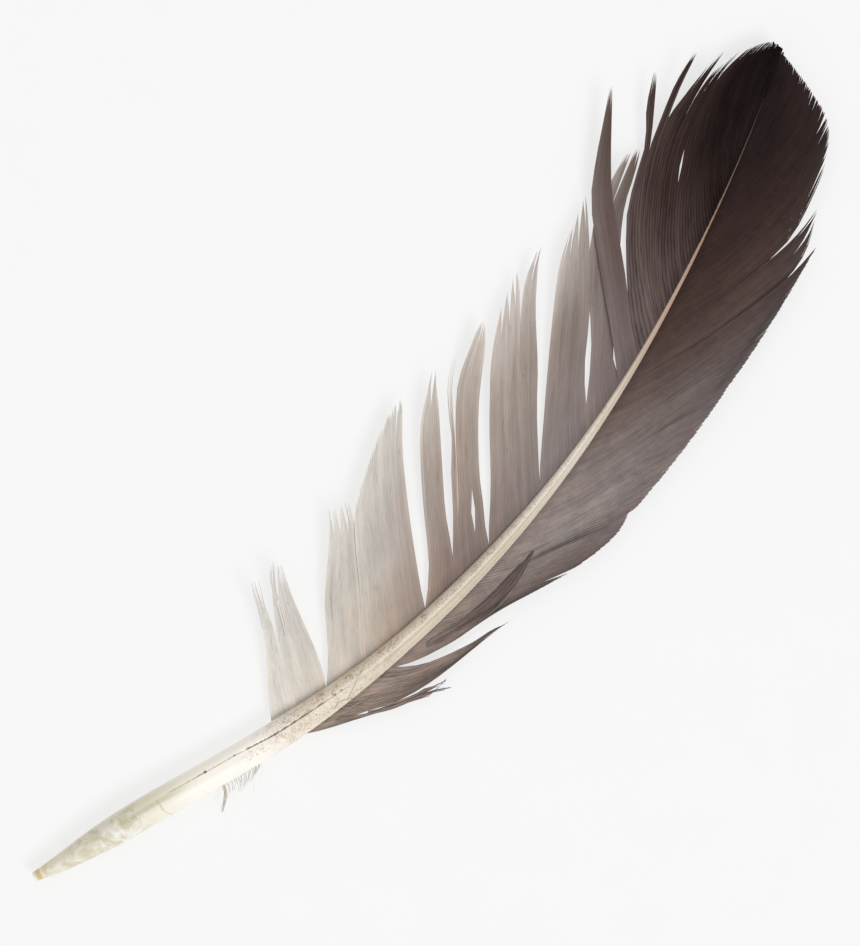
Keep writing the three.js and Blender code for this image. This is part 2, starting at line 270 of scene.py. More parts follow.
def edit(piece, mode, chosen):
    """Goes into edit mode with just the elements for which chosen(element) holds selected."""
    only(piece)
    bpy.ops.object.mode_set(mode="EDIT")
    bpy.ops.mesh.select_mode(type=mode)
    bpy.ops.mesh.select_all(action="DESELECT")
    mesh = bmesh.from_edit_mesh(piece.data)
    for element in {"VERT": mesh.verts, "EDGE": mesh.edges, "FACE": mesh.faces}[mode]:
        element.select_set(chosen(element))
    bmesh.update_edit_mesh(piece.data)


def done():
    bpy.ops.object.mode_set(mode="OBJECT")


def primitive(add, **settings):
    """A new primitive, with its place and turn applied to its mesh."""
    bpy.ops.object.select_all(action="DESELECT")
    add(**settings)
    bpy.ops.object.transform_apply(location=True, rotation=True, scale=True)
    return bpy.context.object


def points_of(piece):
    """A piece's vertices as rows of x, y, z."""
    flat = np.empty(len(piece.data.vertices) * 3)
    piece.data.vertices.foreach_get("co", flat)
    return flat.reshape(-1, 3)


def move_points(piece, points):
    piece.data.vertices.foreach_set("co", np.asarray(points, np.float32).ravel())
    piece.data.update()


def paint(piece, **values):
    """Stores a value for each vertex, for the materials to read."""
    for name, value in values.items():
        attribute = piece.data.attributes.new(name, "FLOAT", "POINT")
        full = np.broadcast_to(np.asarray(value, np.float32), len(piece.data.vertices))
        attribute.data.foreach_set("value", np.ascontiguousarray(full))


def finish(piece, name, slot, material, *nodes):
    """Names a finished piece, gives it its material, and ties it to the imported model."""
    piece.name = name
    piece.data.name = name
    piece.data.materials.clear()
    piece.data.materials.append(material)
    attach(piece, "root")
    if nodes:
        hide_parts(*nodes)


# ---- Barbs ---------------------------------------------------
def through(points, t):
    """The points that lie t of the way, 0 to 1, along a smooth curve through these points."""
    steps = len(points) - 1
    place = np.asarray(t) * steps
    cell = np.clip(np.floor(place).astype(int), 0, steps - 1)
    s = (place - cell).reshape(-1, *[1] * (points.ndim - 1))
    padded = np.concatenate([2 * points[:1] - points[1:2], points, 2 * points[-1:] - points[-2:-1]])
    a, b, c, d = (padded[cell + k] for k in range(4))
    return 0.5 * (2 * b + (c - a) * s + (2 * a - 5 * b + 4 * c - d) * s**2 + (3 * b - a - 3 * c + d) * s**3)


def model_barb():
    """One barb, straight along +Y: a lozenge section that runs out to a point. The copies' pattern."""
    barb = primitive(bpy.ops.mesh.primitive_cylinder_add, vertices=4, radius=1, depth=1,
                     location=(0, 0.5, 0), rotation=(math.pi / 2, 0, 0))
    edit(barb, "EDGE", lambda e: abs(e.verts[0].co.y - e.verts[1].co.y) > 0.5)
    bpy.ops.mesh.subdivide(number_cuts=BARB_STEPS - 1)
    done()
    edit(barb, "VERT", lambda v: v.co.y > 1 - 1e-4)
    bpy.ops.mesh.merge(type="CENTER")
    done()
    points = points_of(barb)
    points[:, 1] = 1 - (1 - points[:, 1]) ** POINT_CROWDING
    move_points(barb, points)
    return barb


class Surface:
    """A tuft's surface: at(u, v) is the point u of the way across it and v of the way out along the barbs."""

    FINE = 48

    def __init__(self, grid):
        self.columns = grid.shape[1] - 1
        self.rows = through(grid, np.linspace(0, 1, self.FINE + 1))
        along = self.at(0.5, 0.5) - self.at(0.5, 0.3)
        self.length = np.linalg.norm(self.at(0.5, 1.0) - self.at(0.5, 0.0))
        self.width = np.linalg.norm(np.cross(self.at(1.0, 0.4) - self.at(0.0, 0.4),
                                             along / np.linalg.norm(along)))

    def at(self, u, v):
        u = np.asarray(u) * self.columns
        v = np.asarray(v) * self.FINE
        i = np.clip(np.floor(u).astype(int), 0, self.columns - 1)
        j = np.clip(np.floor(v).astype(int), 0, self.FINE - 1)
        s, t = (u - i)[..., None], (v - j)[..., None]
        rows = self.rows
        return ((rows[j, i] * (1 - s) + rows[j, i + 1] * s) * (1 - t)
                + (rows[j + 1, i] * (1 - s) + rows[j + 1, i + 1] * s) * t)


class Comb:
    """How a tuft's barbs lie.

    A place across (u) is a share of the tuft's width from its rear edge, and one along (v) is a share of a
    barb's length. Gaps, sway, lean and seams are in millimetres.
    zipped: how far out the barbs stay hooked together; fray: how unequal their lengths are; sway: how far
    loose tips stray; lean: how far the tips curve over towards the feather's tip; clumps: the u where tips
    part into pointed clumps, depth: how much shorter a clump's outer barbs are; splits: (u, v, gap) of a
    parting that runs out from v; holes: (u, from v, to v, gap); shades: (u, v, mm across, mm along, strength)
    of a darker or, if negative, paler patch, which is painted shade where it lies along a parting, a crease or
    a curled edge, and otherwise a darker or paler streak; spacing: the barbs' spacing over the usual one;
    seams: how far the tuft runs on past its rear and its front edge; longer: by what share the barbs outreach
    the tuft's plate.
    """

    def __init__(self, zipped=0.9, fray=0.03, sway=0.2, lean=0.0, clumps=(), depth=0.05, splits=(),
                 holes=(), shades=(), spacing=1.0, seams=(0.18, 0.18), longer=0.0):
        self.zipped, self.fray, self.sway, self.lean = zipped, fray, sway * MM, lean * MM
        self.clumps, self.depth, self.splits, self.holes = clumps, depth, splits, holes
        self.shades, self.spacing, self.seams, self.longer = shades, spacing * BARB_SPACING, seams, longer

    def clump(self, u):
        """The middle of the clump that holds u, and how far u is from it: 0 at the middle, 1 at its edge."""
        for low, high in zip(self.clumps, self.clumps[1:]):
            if low <= u <= high:
                return (low + high) / 2, abs(2 * u - low - high) / (high - low)
        return u, 0.0

    def parted(self, u, v, width):
        """How far a barb at u gives way, in u, at v, to the partings beside it."""
        openings = [(place, gap, np.clip((v - start) / (1 - start), 0, 1) ** 1.3)
                    for place, start, gap in self.splits]
        openings += [(place, gap, np.sin(math.pi * np.clip((v - start) / (end - start), 0, 1)))
                     for place, start, end, gap in self.holes]
        shift = np.zeros_like(v)
        for place, gap, opening in openings:
            near = math.exp(-abs(u - place) * width / PART_REACH)
            shift += math.copysign(gap * MM / 2, u - place) * opening * near
        return shift / width


def copy_of(pattern):
    copy = bpy.data.objects.new("copy", pattern.data.copy())
    bpy.context.scene.collection.objects.link(copy)
    return copy


def joined(copies):
    bpy.ops.object.select_all(action="DESELECT")
    for copy in copies:
        copy.select_set(True)
    bpy.context.view_layer.objects.active = copies[0]
    bpy.ops.object.join()
    bpy.ops.object.shade_smooth_by_angle(angle=SMOOTH_BELOW)
    return copies[0]


def lay_barb(barb, surface, comb, u, share, rng):
    """Lays one barb copy on its tuft: u is its place across, share its part of the width."""
    shape = points_of(barb)
    out = shape[:, 1]
    middle_of_clump, from_middle = comb.clump(u)
    length = 1 + comb.longer - comb.fray * rng.random() ** 2 - comb.depth * from_middle**2
    foot = surface.at(u, 0.0)
    half_width = float(shaft.half_width(foot[0]))
    root = -min(ROOT_REACH, 0.5 * half_width) / surface.length
    bend = np.clip((out - LEAN_FROM) / (1 - LEAN_FROM), 0, 1)
    leaning = min(1.0, comb.lean / LEAN_STEP)
    v = root + (length - root) * (out + (1 - LEAN_FROM) * leaning * (bend**2 - bend**3))
    place = u + comb.lean / surface.width * bend**2 + comb.parted(u, v, surface.width)
    pull = np.clip((out - CLUMP_FROM) / (1 - CLUMP_FROM), 0, 1) ** 2
    place = place + (middle_of_clump - u) * CLUMP_PULL * pull
    rear = surface.at(place - share / 2, v)
    front = surface.at(place + share / 2, v)
    middle, half = (rear + front) / 2, (front - rear) / 2
    tuck = min(ROOT_TUCK, ROOT_GAP + 0.25 * half_width)
    inward = shaft.across(foot[0]) * math.copysign(tuck, shaft.line(foot[0]) - foot[1])
    middle = middle + np.outer(np.exp(-(v * surface.length / TUCK_LENGTH) ** 2), inward)
    loose = smoothstep(comb.zipped - 0.6 * (1 - comb.zipped) * rng.random(), 1.0, out)
    width = BARB_OVERLAP * (1 - LOOSE_THINNING * loose)
    ridge = RIDGE * (1 - 0.6 * out) * (0.8 + 0.4 * rng.random())
    sideways = np.array([half[0, 0], half[0, 1], 0]) / np.linalg.norm(half[0])
    stray = comb.sway * (rng.random() * 2 - 1) * smoothstep(comb.zipped - 0.15, 1.0, out) ** 2
    points = middle + half * (shape[:, 0] * width)[:, None] + np.outer(stray, sideways)
    points[:, 2] += shape[:, 2] * ridge + CUP * (2 * u - 1) ** 2 * out + UNEVEN * (rng.random() - 0.5)
    move_points(barb, points)
    # The tuft's shades: painted shade along partings, creases and curled edges, and darker or paler streaks
    # elsewhere.
    shade = 0.0
    for at_u, at_v, wide, long, strength in comb.shades:
        shade = shade + strength * np.exp(-((place - at_u) * surface.width / (wide * MM)) ** 2
                                          - ((v - at_v) * surface.length / (long * MM)) ** 2)
    paint(barb, place=(foot[0] - CUT_END.x) / LENGTH, reach=v, tone=rng.random(),
          ridge=1 - np.abs(shape[:, 0]), comb=(u + share / 2 * shape[:, 0]) * surface.width / MM,
          edge=max(min(u, 1 - u), 0) * surface.width / MM, shade=shade)


def comb_tuft(grid, comb, seed):
    """All the barbs of one tuft, joined into one piece."""
    rng = random.Random(seed)
    surface = Surface(grid)
    count = max(3, round(surface.width / comb.spacing))
    first, last = (-comb.seams[0] * MM / surface.width, 1 + comb.seams[1] * MM / surface.width)
    share = (last - first) / count
    barbs = []
    for i in range(count):
        barb = copy_of(barb_pattern)
        lay_barb(barb, surface, comb, first + share * (i + 0.5), share, rng)
        barbs.append(barb)
    return joined(barbs)


def lay_strand(path, thickness, place, tone=0.5, shade=0.0, flat=1.0, comb=3.0, reach=(0.2, 1.0)):
    """One loose barb or hair along a smooth curve through path: points x, y, z in mm from the cut end.

    flat: its depth over its width; comb and reach: what the barb materials read, as on a tuft.
    """
    strand = copy_of(barb_pattern)
    shape = points_of(strand)
    out = shape[:, 1]
    points = np.array(path, float) * MM + np.array(CUT_END)
    middle = through(points, out)
    ahead = through(points, np.minimum(out + 0.02, 1)) - through(points, np.maximum(out - 0.02, 0))
    across = np.stack([-ahead[:, 1], ahead[:, 0], np.zeros_like(out)], -1)
    across /= np.linalg.norm(across, axis=1)[:, None]
    half = thickness * MM / 2 * (1 - 0.6 * out)
    middle = middle + across * (shape[:, 0] * half)[:, None]
    middle[:, 2] += shape[:, 2] * half * flat
    move_points(strand, middle)
    paint(strand, place=place, reach=reach[0] + (reach[1] - reach[0]) * out, tone=tone,
          ridge=1 - np.abs(shape[:, 0]), comb=comb, edge=1.0, shade=shade * smoothstep(0.0, 0.4, out))
    return strand


# ---- Horn: the barrel and the shaft --------------------------
def along_mm(x):
    return (x - CUT_END.x) / MM


def model_horn(start, end, cuts):
    """The skin of a stretch of horn: an open tube whose rings follow the shaft and crowd at its slit."""
    horn = primitive(bpy.ops.mesh.primitive_cylinder_add, vertices=HORN_AROUND, radius=1, depth=1,
                     end_fill_type="NOTHING", location=(0.5, 0, 0), rotation=(0, math.pi / 2, 0))
    edit(horn, "EDGE", lambda e: abs(e.verts[0].co.x - e.verts[1].co.x) > 0.5)
    bpy.ops.mesh.subdivide(number_cuts=cuts)
    done()
    shape = points_of(horn)
    x = start + (end - start) * shape[:, 0]
    mm = along_mm(x)
    around = np.arctan2(shape[:, 2], shape[:, 1])
    from_slit = around - HORN_CROWDING * np.sin(around)
    turn = from_slit + np.radians(np.interp(mm, SLIT_AT, SLIT_TURN))
    half_width, half_depth = shaft.half_width(x), shaft.half_depth(x)
    slit = from_slit * half_width / MM
    groove = np.interp(mm, SLIT_AT, SLIT_DEPTH) * np.exp(-(slit / np.interp(mm, SLIT_AT, SLIT_WIDTH)) ** 2)
    share = 1 - groove * MM / half_depth
    points = shaft.centre(x) + shaft.across(x) * (share * half_width * np.cos(turn))[:, None]
    points[:, 2] += share * half_depth * np.sin(turn)
    move_points(horn, points)
    return horn, {"along": mm, "across": np.cos(turn), "slit": slit}


def give_wall(horn, values, thickness, thinner=None):
    """Gives the horn's skin its thickness inwards, and paints both sides of the wall."""
    wall = horn.modifiers.new("wall", "SOLIDIFY")
    wall.thickness = thickness
    wall.offset = -1
    if thinner is not None:
        group = horn.vertex_groups.new(name="wall")
        for i, weight in enumerate(thinner):
            group.add([i], float(weight), "REPLACE")
        wall.vertex_group = "wall"
    outside = len(horn.data.vertices)
    only(horn)
    bpy.ops.object.modifier_apply(modifier="wall")
    bpy.ops.object.shade_smooth_by_angle(angle=HORN_SMOOTH_BELOW)
    paint(horn, inside=np.arange(len(horn.data.vertices)) >= outside,
          **{name: np.tile(value, 2) for name, value in values.items()})


def model_barrel():
    horn, values = model_horn(CUT_END.x, JOINT, BARREL_CUTS)
    give_wall(horn, values, HORN_WALL)
    return horn


def model_shaft():
    """The shaft's horn tapers to a closed point, and its wall thins with it."""
    horn, values = model_horn(JOINT, shaft.end, SHAFT_CUTS)
    thinner = np.minimum(1, 0.4 * shaft.half_width(values["along"] * MM + CUT_END.x) / HORN_WALL)
    tip = max(v.co.x for v in horn.data.vertices)
    edit(horn, "EDGE", lambda e: e.is_boundary and e.verts[0].co.x > tip - 1 * MM)
    bpy.ops.mesh.edge_face_add()
    done()
    give_wall(horn, values, HORN_WALL, thinner)
    return horn


def model_pulp_cap():
    """Half a dome, opening along +X, of radius 1. It is the pulp caps' pattern."""
    cap = primitive(bpy.ops.mesh.primitive_uv_sphere_add, segments=32, ring_count=18, radius=1,
                    rotation=(0, -math.pi / 2, 0))
    edit(cap, "VERT", lambda v: v.co.x > 0.05)
    bpy.ops.mesh.delete(type="VERT")
    done()
    return cap


def place_pulp_cap(cap, node, seed):
    """Crumples one cap and sets it across the barrel where its node is, dome towards the cut end."""
    low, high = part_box(node)
    rim = (low.x + high.x) / 2 + CAP_DEPTH / 2
    shape = points_of(cap)
    crumple = np.array([noise.noise_vector(Vector(p) * 2.2 + Vector((seed, 0, 0))) for p in shape])
    x = rim + (shape[:, 0] * CAP_DEPTH + crumple[:, 0] * CAP_CRUMPLE)
    radius = shaft.half_width(x) - HORN_WALL - CAP_GAP
    level = shaft.across(x) * (shape[:, 1] * radius + crumple[:, 1] * CAP_CRUMPLE * 0.5)[:, None]
    points = shaft.centre(x) + level
    points[:, 2] += shape[:, 2] * radius * 0.98 + crumple[:, 2] * CAP_CRUMPLE * 0.5
    move_points(cap, points)
    wall = cap.modifiers.new("wall", "SOLIDIFY")
    wall.thickness = CAP_WALL
    only(cap)
    bpy.ops.object.modifier_apply(modifier="wall")
    bpy.ops.object.shade_smooth()


# ---- Loose barbs, hairs and down -----------------------------
class Heights:
    """How high the vanes and the shaft are at a plan point, so that a loose barb can lie on them."""

    def __init__(self):
        self.points = []

    def add(self, grid):
        self.points.append(grid.reshape(-1, 3))

    def at(self, x, y):
        off = abs(y - shaft.line(x)) / shaft.half_width(x)
        if off < 1:
            return float(shaft.centre(np.array([x]))[0, 2] + shaft.half_depth(x) * math.sqrt(1 - off**2))
        known = np.concatenate(self.points)
        distance = np.hypot(known[:, 0] - x, known[:, 1] - y)
        near = np.argsort(distance)[:4]
        weight = 1 / (distance[near] + 0.1 * MM)
        return float((known[near, 2] * weight).sum() / weight.sum())


def resting(path, lift=0.25):
    """A path given in plan, in mm from the cut end, laid on what is under it: points x, y and z in mm."""
    return [(x, y, heights.at(CUT_END.x + x * MM, CUT_END.y + y * MM) / MM + lift) for x, y in path]


def make_loose_barbs():
    """The wisps that stand away from the rear of the wide vane."""
    wisps = [
        [(84.6, -2.0), (86.8, 1.1), (88.9, 4.0), (91.2, 7.8)],
        [(84.9, -2.2), (86.4, -0.1), (88.8, 3.2), (91.4, 6.7)],
        [(85.6, -2.6), (87.6, 0.2), (90.6, 3.7), (92.9, 7.0)],
        [(84.4, -1.8), (86.2, 0.6), (88.2, 3.6), (90.2, 6.6)],
        [(85.0, -2.4), (87.0, 0.4), (89.8, 4.2), (92.0, 7.6)],
        [(87.0, -7.0), (90.5, -2.2), (92.7, 1.3), (95.1, 4.7), (98.8, 7.3)],
        [(87.4, -7.2), (90.9, -2.4), (93.1, 1.1), (95.5, 4.4), (98.2, 6.4)],
        [(86.8, -7.2), (90.2, -2.3), (92.4, 1.4), (94.9, 4.9), (97.6, 7.0)],
    ]
    tones = (0.1, 0.3, 0.9, 0.2, 0.6, 0.5, 0.8, 0.3)
    strands = [lay_strand(resting(path, 0.3), 0.4, 0.25, tone, -0.02, 0.3)
               for path, tone in zip(wisps, tones)]
    return joined(strands)


def make_brown_wisps():
    """Strands that have come loose along the lowest tuft of the narrow vane."""
    wisps = [
        ([(79.0, -30.7), (85.8, -35.8), (89.6, -38.2), (95.7, -41.3), (100.7, -43.9), (104.4, -46.8)], 0.6),
        ([(80.0, -30.9), (86.4, -36.2), (90.6, -39.2), (95.5, -41.6), (99.7, -43.6), (103.0, -46.0)], 0.5),
        ([(92.0, -38.7), (97.0, -41.4), (100.9, -43.0), (104.9, -44.7)], 0.5),
        ([(86.0, -35.2), (92.0, -39.6), (96.2, -42.2), (99.4, -44.2)], 0.4),
    ]
    return joined([lay_strand(resting(path), thick, 0.32, i / 4, -0.1, 0.5, 1.3 * i)
                   for i, (path, thick) in enumerate(wisps)])


def make_root_hairs():
    """Curly light hairs at the foot of the narrow vane, and one long hair across the shaft."""
    hairs = [
        ([(80.9, -28.5), (83.2, -28.2), (85.4, -29.4), (88.1, -31.6), (92.5, -31.4)], 0.13),
        ([(86.8, -32.7), (88.6, -34.9), (91.4, -36.6), (94.6, -37.6), (97.6, -36.4)], 0.14),
        ([(82.4, -29.6), (84.2, -31.4), (87.6, -32.2), (90.2, -33.9), (91.0, -35.8)], 0.12),
        ([(84.6, -31.4), (86.2, -33.6), (86.6, -35.6), (88.6, -37.4)], 0.12),
        ([(93.3, -35.8), (94.9, -36.4), (96.7, -36.3), (98.4, -38.2), (100.4, -39.1)], 0.13),
        ([(84.6, -29.6), (86.6, -28.9), (91.1, -27.7), (94.2, -26.8), (97.4, -24.9)], 0.16),
    ]
    return joined([lay_strand(resting(path, 0.2), thick, 0.9) for path, thick in hairs])


def make_folded_wedge():
    """A pointed lock of barbs that has folded over the narrow vane, out of the tuft behind it."""
    upper = np.array([(109.0, -34.6), (114.3, -36.2), (118.4, -37.6), (124.6, -38.8), (129.5, -39.1),
                      (135.0, -39.3), (139.8, -39.6), (143.6, -39.7)])
    lower = np.array([(107.4, -36.0), (111.6, -37.6), (116.3, -39.5), (121.6, -41.2), (127.0, -42.3),
                      (132.4, -42.3), (138.0, -41.3), (143.4, -39.9)])
    strands = []
    for i in range(WEDGE_BARBS):
        share = i / (WEDGE_BARBS - 1)
        bulge = math.sin(math.pi * share)
        path = [(x, y, z + 0.15 * bulge + 0.15 * min(1, n / 3)) for n, (x, y, z)
                in enumerate(resting((upper + (lower - upper) * share).tolist(), -0.1))]
        shade = 0.12 - 0.12 * share if i < WEDGE_BARBS - 1 else -0.3
        tone = (i * 0.38) % 1
        strands.append(lay_strand(path, 0.85, 0.37, tone, shade, 0.05, 0.45 * i, (0.6, 1.0)))
    return joined(strands)


def make_tip_barbs():
    """The barbs that carry on in line with the shaft's tip and close the vanes there."""
    tips = [(276.6, -6.6), (277.4, -5.4), (278.0, -4.2), (278.5, -3.0), (278.6, -1.8), (278.4, -0.6)]
    strands = []
    for i, tip in enumerate(tips):
        share = i / (len(tips) - 1)
        root = (266.5, -8.6 + 1.2 * share)
        middle = (272.5, -6.6 + 1.5 * share)
        path = resting([root, middle, tip], 0.05)
        strands.append(lay_strand(path, 1.1, 0.98, share, flat=0.1, comb=0.8 * i))
    return joined(strands)


def make_down_strand():
    """The matted strand of down: a few barbs twisted together."""
    rng = random.Random(5)
    path = [(49, -18.9, 4.2), (48, -20.9, 3.9), (46.4, -22.7, 3.4), (44.7, -23.5, 3), (43, -24.4, 2.8)]
    strands = []
    for i in range(DOWN_BARBS):
        wander = [(x + rng.uniform(-0.5, 0.6), y + rng.uniform(-0.3, 0.3), z + rng.uniform(-0.3, 0.3))
                  for x, y, z in path]
        strands.append(lay_strand(wander, rng.uniform(0.1, 0.28), 0.3, rng.random(), comb=i * 1.7))
    return joined(strands)


def make_down_fan():
    """The loose fan of down: fine hairs that curve away from the shaft's edge, and some that have parted."""
    rng = random.Random(8)
    roots = np.array([(49.1, -19.0), (52.4, -20.9), (56.0, -22.4), (58.8, -23.2)])
    tips = np.array([(47.6, -22.9), (49.2, -24.4), (52.0, -24.9), (55.2, -24.6)])
    strands = []
    for i in range(FAN_HAIRS):
        share = min(1, max(0, (i + rng.uniform(-0.6, 0.6)) / (FAN_HAIRS - 1)))
        length = rng.uniform(0.62, 1.06)
        root = through(roots, [share])[0]
        tip = root + (through(tips, [min(1, max(0, share + rng.uniform(-0.07, 0.07)))])[0] - root) * length
        bow = root * 0.5 + tip * 0.5 + (rng.uniform(0.3, 0.9), rng.uniform(-0.3, 0.1))
        path = [(*root, 4.0), (*bow, 3.6), (*tip, 3.1 + rng.uniform(-0.4, 0.4))]
        strands.append(lay_strand(path, rng.uniform(0.08, 0.17), 0.31, rng.random(), comb=i * 1.3))
    for path in ([(58.9, -23.3, 3.9), (57.6, -25.0, 3.5), (55.3, -25.9, 3.0)],
                 [(53.8, -25.4, 3.6), (52.8, -26.6, 3.3), (51.4, -27.4, 2.9)]):
        strands.append(lay_strand(path, 0.08, 0.27))
    return joined(strands)


# ---- Shader groups and materials -----------------------------
class Value:
    """A shader socket that holds a number. Adding, multiplying and so on each make a Math node."""

    def __init__(self, nodes, socket):
        self.nodes, self.socket = nodes, socket

    def __add__(self, other):
        return self.nodes.math("ADD", self, other)

    def __mul__(self, other):
        return self.nodes.math("MULTIPLY", self, other)

    def __sub__(self, other):
        return self.nodes.math("SUBTRACT", self, other)

    def __rsub__(self, other):
        return self.nodes.math("SUBTRACT", other, self)

    def __truediv__(self, other):
        return self.nodes.math("DIVIDE", self, other)

    def __pow__(self, other):
        return self.nodes.math("POWER", self, other)

    def __abs__(self):
        return self.nodes.math("ABSOLUTE", self)


class Nodes:
    """Builds one node tree."""

    def __init__(self, tree):
        self.tree = tree

    def add(self, kind, settings=None, **inputs):
        node = self.tree.nodes.new("ShaderNode" + kind)
        for name, value in (settings or {}).items():
            setattr(node, name, value)
        for name, value in inputs.items():
            self.feed(node.inputs[name], value)
        return node

    def feed(self, socket, value):
        """Links or sets a socket. A tuple is a colour as the eye sees it."""
        if isinstance(value, Value):
            value = value.socket
        elif isinstance(value, tuple):
            value = srgb(*value)
        if isinstance(value, bpy.types.NodeSocket):
            self.tree.links.new(value, socket)
        else:
            socket.default_value = value

    def math(self, operation, *values):
        node = self.add("Math", {"operation": operation})
        for socket, value in zip(node.inputs, values):
            self.feed(socket, value)
        return Value(self, node.outputs[0])

    def mix(self, factor, a, b, blend="MIX"):
        node = self.add("Mix", {"data_type": "RGBA", "blend_type": blend})
        for name, value in (("Factor_Float", factor), ("A_Color", a), ("B_Color", b)):
            self.feed(next(s for s in node.inputs if s.identifier == name), value)
        return next(s for s in node.outputs if s.identifier == "Result_Color")

    def remap(self, value, low, high, to_low=0.0, to_high=1.0):
        node = self.add("MapRange", {"interpolation_type": "SMOOTHSTEP"}, **{
            "Value": value, "From Min": low, "From Max": high, "To Min": to_low, "To Max": to_high})
        return Value(self, node.outputs["Result"])

    def attribute(self, name):
        return Value(self, self.add("Attribute", {"attribute_name": name}).outputs["Fac"])

    def ramp(self, value, stops):
        node = self.add("ValToRGB", Fac=value)
        elements = node.color_ramp.elements
        while len(elements) < len(stops):
            elements.new(0.5)
        for element, (place, colour) in zip(elements, stops.items()):
            element.position = place
            element.color = srgb(*colour)
        return node.outputs["Color"]

    def vector(self, x=0.0, y=0.0, z=0.0):
        return self.add("CombineXYZ", X=x, Y=y, Z=z).outputs[0]

    def spot(self):
        """The point itself, in metres."""
        return self.add("TexCoord").outputs["Object"]

    def noise(self, vector, scale, detail=2.0, roughness=0.5, distortion=0.0):
        node = self.add("TexNoise", Vector=vector, Scale=scale, Detail=detail, Roughness=roughness,
                        Distortion=distortion)
        return Value(self, node.outputs["Fac"])


class Material(Nodes):
    """Builds one material."""

    def __init__(self, name):
        self.made = bpy.data.materials.new(name)
        self.made.use_nodes = True
        super().__init__(self.made.node_tree)
        self.shader = self.tree.nodes["Principled BSDF"]

    def set(self, **inputs):
        """Sets or links inputs of the Principled shader, with _ for each space in their names."""
        for name, value in inputs.items():
            self.feed(self.shader.inputs[name.replace("_", " ")], value)

    def bump(self, height, strength, distance):
        node = self.add("Bump", Strength=strength, Distance=distance, Height=height)
        self.set(Normal=node.outputs[0])


def barb_streaks():
    """Streaks and patches along the barbs; the line of each barb, partly its own colour and partly painted
    highlight on its ridge and painted shade between barbs; thin partings darkened with painted shade; slanting
    barbules.
    """
    tree = bpy.data.node_groups.new("barb_streaks", "ShaderNodeTree")
    for name in ("Streaks", "Lines", "Mottle"):
        tree.interface.new_socket(name, in_out="INPUT", socket_type="NodeSocketFloat")
    for name in ("Shade", "Height", "Warmth"):
        tree.interface.new_socket(name, in_out="OUTPUT", socket_type="NodeSocketFloat")
    nodes = Nodes(tree)
    given = tree.nodes.new("NodeGroupInput").outputs
    result = tree.nodes.new("NodeGroupOutput").inputs
    streaks, lines, mottle = (Value(nodes, given[name]) for name in ("Streaks", "Lines", "Mottle"))
    comb, reach, ridge, tone = (nodes.attribute(name) for name in ("comb", "reach", "ridge", "tone"))
    tuft = nodes.attribute("place") * 40.0

    def combed(across, along, detail, roughness):
        """Noise drawn out along the barbs: across in cycles per mm, along in cycles per barb."""
        return nodes.noise(nodes.vector(comb * across, reach * along, tuft), 1.0, detail, roughness) - 0.5

    streak = combed(0.4, 3.5, 3.0, 0.6) + combed(2.4, 11.0, 3.0, 0.7) * 0.9 + (tone - 0.5) * 0.22
    # Each barb lighter along its ridge and darker at its sides: partly its own colour, partly painted
    # highlight on the ridge and painted shade between barbs.
    line = nodes.remap(ridge, 0.2, 1.0) - 0.5
    slant = nodes.math("SINE", (ridge + reach * 30.0) * 9.0)
    patches = (nodes.noise(nodes.spot(), 330.0, 5.0, 0.75) - 0.5) * mottle
    # Thin dark lines where barbs part: painted shade.
    parting = nodes.remap(abs(combed(0.55, 1.3, 1.0, 0.5)), 0.0, 0.012, 0.16, 0.0)
    parting = parting * nodes.remap(reach, 0.1, 0.4)
    nodes.feed(result["Shade"], streak * streaks + line * lines + patches - parting + slant * 0.01 + 1.0)
    nodes.feed(result["Height"], ridge * 0.6 + slant * 0.2)
    nodes.feed(result["Warmth"], nodes.remap(combed(0.45, 4.0, 3.0, 0.65) + patches * 1.6, -0.15, 0.15))


def barb_material(name, colours, streaks, lines, mottle, warmth, rim):
    """Barbs coloured by how far along the shaft they grow and how far out along the barb a point is.

    streaks, lines and mottle: how strongly these show; warmth: how far the patches part into warm and cool;
    rim: how much paler a tuft's outermost barbs are.
    """
    nodes = Material(name)
    group = nodes.add("Group", {"node_tree": bpy.data.node_groups["barb_streaks"]},
                      Streaks=streaks, Lines=lines, Mottle=mottle)
    reach = nodes.attribute("reach")
    roots, middles, tips = (nodes.ramp(nodes.attribute("place"), stops) for stops in colours)
    colour = nodes.mix(nodes.remap(reach, 0.05, 0.5), roots, middles)
    colour = nodes.mix(nodes.remap(reach, 0.5, 0.95), colour, tips)
    warm = nodes.mix(warmth, colour, (255, 243, 232), "MULTIPLY")
    cool = nodes.mix(warmth, colour, (240, 246, 254), "MULTIPLY")
    colour = nodes.mix(group.outputs["Warmth"], cool, warm)
    fringe = nodes.remap(nodes.attribute("edge"), 0.1, 0.7, rim, 0.0)
    # Darker towards the roots, beside the shaft: painted shade.
    painted_root_shade = nodes.remap(reach, 0.0, 0.09, 0.78, 1.0)
    shade = (Value(nodes, group.outputs["Shade"]) + fringe) * painted_root_shade * (1.0 - nodes.attribute("shade"))
    bright = nodes.add("CombineColor", Red=shade, Green=shade, Blue=shade).outputs[0]
    nodes.set(Base_Color=nodes.mix(1.0, colour, bright, "MULTIPLY"), Roughness=0.7, Specular_IOR_Level=0.04)
    nodes.bump(group.outputs["Height"], 0.25, 0.06 * MM)
    return nodes.made


